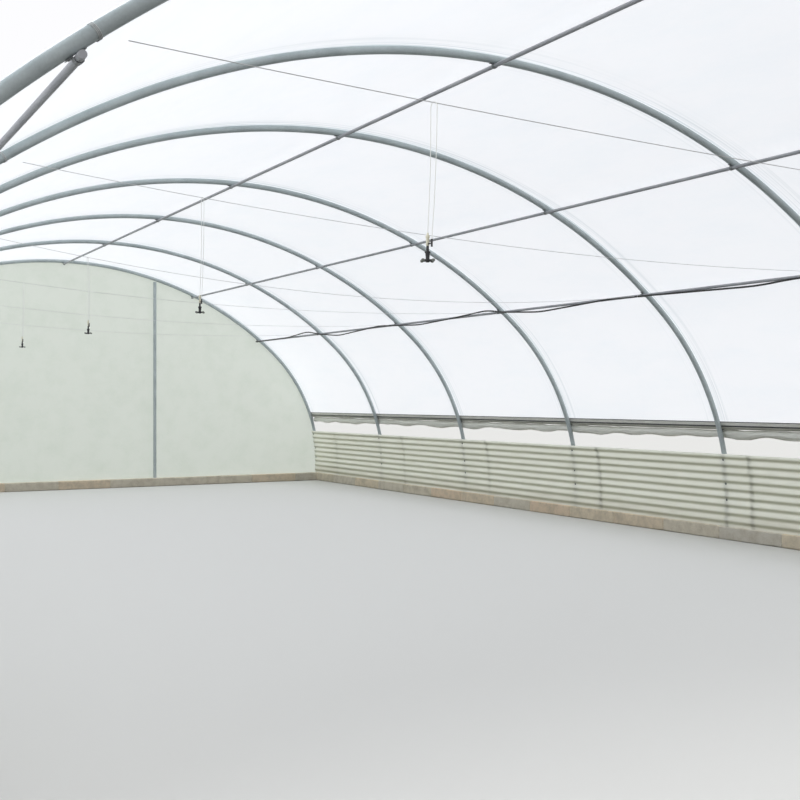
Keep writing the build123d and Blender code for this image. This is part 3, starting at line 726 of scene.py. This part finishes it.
nozzle = turned([
    (0, 0.019), (0.0037, 0.019), (0.005, 0.021), (0.005, 0.0255), (0.0042, 0.028), (0.0022, 0.028),
    (0.0018, 0.03), (0, 0.03),
], 18)
bodies, nozzles = [], []
for x, y in zip(rowX, stations):
    middle = np.array([x, y + fog["loop"], valveTop])
    bodies.append(placed(body, middle, (1, 0, 0), (0, 0, 1)))
    for quarter in range(4):
        a = radians(90 * quarter + fog["turn"])
        spot, way = middle - (0, 0, fog["armDrop"]), (np.cos(a), np.sin(a), 0)
        bodies.append(placed(arm, spot, (0, 0, 1), way))
        nozzles.append(placed(nozzle, spot, (0, 0, 1), way))
addPiece("four_way_foggers", joined(bodies), blackPlastic, ["foggers"], 35)
addPiece("fogger_nozzles", joined(nozzles), nozzlePlastic, sharpAngle=35)

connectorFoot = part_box("fogger_connectors")[0].z - fog["lower"]
connectorLength = 0.05
connector = turned([
    (0, 0.008), (0.0048, 0.008), (0.0055, 0.0092), (0.0055, 0.03), (0.0046, 0.0312), (0.0046, 0.0328),
    (0.007, 0.0335), (0.007, 0.0405), (0.0046, 0.0412), (0.0046, 0.043), (0.0038, 0.044),
    (0.003, connectorLength), (0, connectorLength),
], 24)
shapes = []
for x, y in zip(rowX, stations):
    shapes.append(placed(connector, (x, y + fog["loop"], connectorFoot), (1, 0, 0), (0, 0, 1)))
addPiece("barbed_connectors", joined(shapes), palePlastic, ["fogger_connectors"], 35)

dropper = {
    "radius": 0.0013, "topLoop": 0.02, "bend": 0.004, "inside": 0.004, "steps": 20, "sides": 10,
    "lean": (0.016, 0.01, -0.006, 0.008, -0.01, 0.005),  # of the loop on the wire, to the right
}
hook = {
    "below": 0.023, "length": 0.025, "radius": 0.0033,
    "finger": 0.013, "fingerRadius": 0.0024, "short": 0.0045,
}
hookTop = connectorFoot + connectorLength - hook["below"]
droppers, hooks = [], []
for (left, right, sag), x, lean, y in zip(tieEnds, rowX, dropper["lean"], stations):
    t = (x + lean - left[0]) / (right[0] - left[0])
    crest = left[2] + (right[2] - left[2]) * t - 4 * sag * t * (1 - t) + ties["radius"] + dropper["radius"]
    loop = dropper["topLoop"]
    turn = np.linspace(0, np.pi, 25)[:, None]  # half circle over the tie wire
    arc = loop * np.cos(turn) * (0, 1, 0) + loop * np.sin(turn) * (0, 0, 1)
    over = np.array([x + lean, y, crest - loop]) + arc
    start = np.array([x, y + fog["loop"], connectorFoot + connectorLength - dropper["inside"]])
    finish = np.array([x, y - fog["loop"], hookTop - dropper["inside"]])
    ease = np.linspace(0, 1, dropper["steps"])[:, None]
    bend = dropper["bend"] * np.sin(np.pi * ease) * (1, 0, 0)
    rising, falling = start + (over[0] - start) * ease + bend, over[-1] + (finish - over[-1]) * ease + bend
    path = np.vstack([rising[:-1], over, falling[1:]])
    droppers.append(sweepTube(path, (1, 0, 0), dropper["radius"], dropper["sides"]))
    h = np.linspace(hookTop, hookTop - hook["length"], 6)[:, None]
    hooks.append(sweepTube(finish * (1, 1, 0) + h * (0, 0, 1), (1, 0, 0), hook["radius"], 14))
    reach = np.linspace(-fog["loop"], fog["loop"] - hook["short"], 6)[:, None]
    finger = np.array([x, y, hookTop - hook["finger"]]) + reach * (0, 1, 0)
    hooks.append(sweepTube(finger, (1, 0, 0), hook["fingerRadius"], 12))
addPiece("looped_droppers", joined(droppers), dropperPlastic, ["fogger_droppers"])
addPiece("dropper_hooks", joined(hooks), blackPlastic, ["fogger_hooks"])
print("foggers made")


# Water hose beside the right low purlin, with its ties

hose = {
    "radius": 0.008, "beside": 0.0245, "steps": 241, "sides": 16, "ease": 0.25, "easeSteps": 25,
    "route": (  # along the tunnel, and drop below the low purlin's axis
        (-6.75, 0.012), (-5.6, 0.03), (-4.6, 0.012), (-3.95, 0.012), (-3.6, 0.036), (-2.8, 0.019),
        (-1.85, -0.001), (-0.75, 0.046), (-0.02, -0.003), (0.17, -0.038), (0.8, 0.0), (1.65, 0.036),
        (2.6, -0.011), (3.8, 0.054), (4.45, 0.0), (4.8, -0.052), (5.5, 0.0), (6.75, 0.004),
    ),
}
hoseTies = {"radius": 0.0012, "beside": 0.034, "steps": 48, "sides": 6}
y = np.linspace(stations[0], stations[-1], hose["steps"])
near = np.linspace(-1, 1, hose["easeSteps"])
weight = 1 + np.cos(np.pi * near)  # the drop is a rounded mean over the ease each way
drop = np.interp(y[:, None] + hose["ease"] * near, *np.array(hose["route"]).T)
drop = (drop * weight).sum(1) / weight.sum()
path = np.column_stack([np.full(len(y), lowPurlin[0] - hose["beside"]), y, lowPurlin[2] - drop])
tube = sweepTube(path, (1, 0, 0), hose["radius"], hose["sides"])
addPiece("black_hose", tube, hosePlastic, ["water_hose"])
length = float(np.linalg.norm(np.diff(path, axis=0), axis=1).sum())
print("the hose is", round(length, 3), "m long")

shapes = []
for station in stations[:-1]:
    # a loop round both: half a circle round each of them and straight in between
    spot = station + hoseTies["beside"]
    toHose = np.array([-hose["beside"], 0, -np.interp(spot, y, drop)])
    way = toHose / np.linalg.norm(toHose)
    across = np.cross(way, (0, 1, 0))
    turn = np.linspace(0, 2 * np.pi, hoseTies["steps"] + 1)[:-1, None]
    onHose = np.cos(turn) >= 0
    wide = np.where(onHose, hose["radius"], purlins["radius"]) + hoseTies["radius"]
    ring = lowPurlin + (0, spot, 0) + toHose * onHose + wide * (np.cos(turn) * way + np.sin(turn) * across)
    shapes.append(sweepTube(np.vstack([ring, ring[:2]]), (0, 1, 0), hoseTies["radius"], hoseTies["sides"]))
addPiece("hose_ties", joined(shapes), wirePlastic)
print("hose made")


# Floor, light and camera

def seenShare(tree):
    # 1 for rays from the camera, off glossy surfaces and through clear ones, 0 for light that falls on things
    rays = addNode(tree, "ShaderNodeLightPath").outputs
    links = {0: rays["Is Camera Ray"], 1: rays["Is Glossy Ray"]}
    seen = addNode(tree, "ShaderNodeMath", None, links, operation="MAXIMUM")
    links = {0: seen.outputs[0], 1: rays["Is Transmission Ray"]}
    return addNode(tree, "ShaderNodeMath", None, links, operation="MAXIMUM").outputs[0]


floorLook = {"half": 60, "below": 0.001, "lit": "#50504d", "seen": "#e0e0dd"}  # it throws little light back
floorMaterial, tree = newMaterial("paleFloor")
tones = {"A": toLinear(floorLook["lit"]), "B": toLinear(floorLook["seen"])}
tone = addNode(tree, "ShaderNodeMix", tones, {"Factor": seenShare(tree)}, data_type="RGBA")
plain = addNode(tree, "ShaderNodeBsdfDiffuse", None, {"Color": tone.outputs["Result"]})
addNode(tree, "ShaderNodeOutputMaterial", None, {"Surface": plain.outputs[0]})
floorMesh = bpy.data.meshes.new("floor")
square = ((-1, -1), (1, -1), (1, 1), (-1, 1))
corners = [(x * floorLook["half"], y * floorLook["half"], -floorLook["below"]) for x, y in square]
floorMesh.from_pydata(corners, [], [(0, 1, 2, 3)])
floorMesh.materials.append(floorMaterial)
floor = bpy.data.objects.new("floor", floorMesh)
bpy.context.scene.collection.objects.link(floor)

lights = {
    "sky": 0.68, "seen": 1.0, "skyColour": "#fdfdff", "softness": 50,
    "suns": (("leftSun", 1.85, (68, 0, -88)), ("rightSun", 1.3, (60, 0, 100))),  # name, strength and turn
}
world = bpy.data.worlds.new("overcast")
bpy.context.scene.world = world
world.use_nodes = True
tree = world.node_tree
tree.nodes.clear()
strength = {"To Min": lights["sky"], "To Max": lights["seen"]}
strength = addNode(tree, "ShaderNodeMapRange", strength, {"Value": seenShare(tree)})
colour = {"Color": toLinear(lights["skyColour"])}
sky = addNode(tree, "ShaderNodeBackground", colour, {"Strength": strength.outputs[0]})
addNode(tree, "ShaderNodeOutputWorld", None, {"Surface": sky.outputs[0]})
for name, energy, lean in lights["suns"]:
    sun = bpy.data.lights.new(name, "SUN")
    sun.energy, sun.angle = energy, radians(lights["softness"])
    sunObject = bpy.data.objects.new(name, sun)
    sunObject.rotation_euler = [radians(v) for v in lean]
    bpy.context.scene.collection.objects.link(sunObject)

view = {"place": (-3.7575, -9.835, 1.307), "turn": -29.51, "lens": 50.22, "sensor": 36, "farthest": 300}
camera = bpy.data.cameras.new("photoCamera")
camera.lens, camera.sensor_width, camera.clip_end = view["lens"], view["sensor"], view["farthest"]
cameraObject = bpy.data.objects.new("photoCamera", camera)
cameraObject.location = view["place"]
cameraObject.rotation_euler = (radians(90), 0, radians(view["turn"]))
bpy.context.scene.collection.objects.link(cameraObject)
bpy.context.scene.camera = cameraObject
bpy.context.scene.view_settings.view_transform = "Standard"

print("light and camera set")
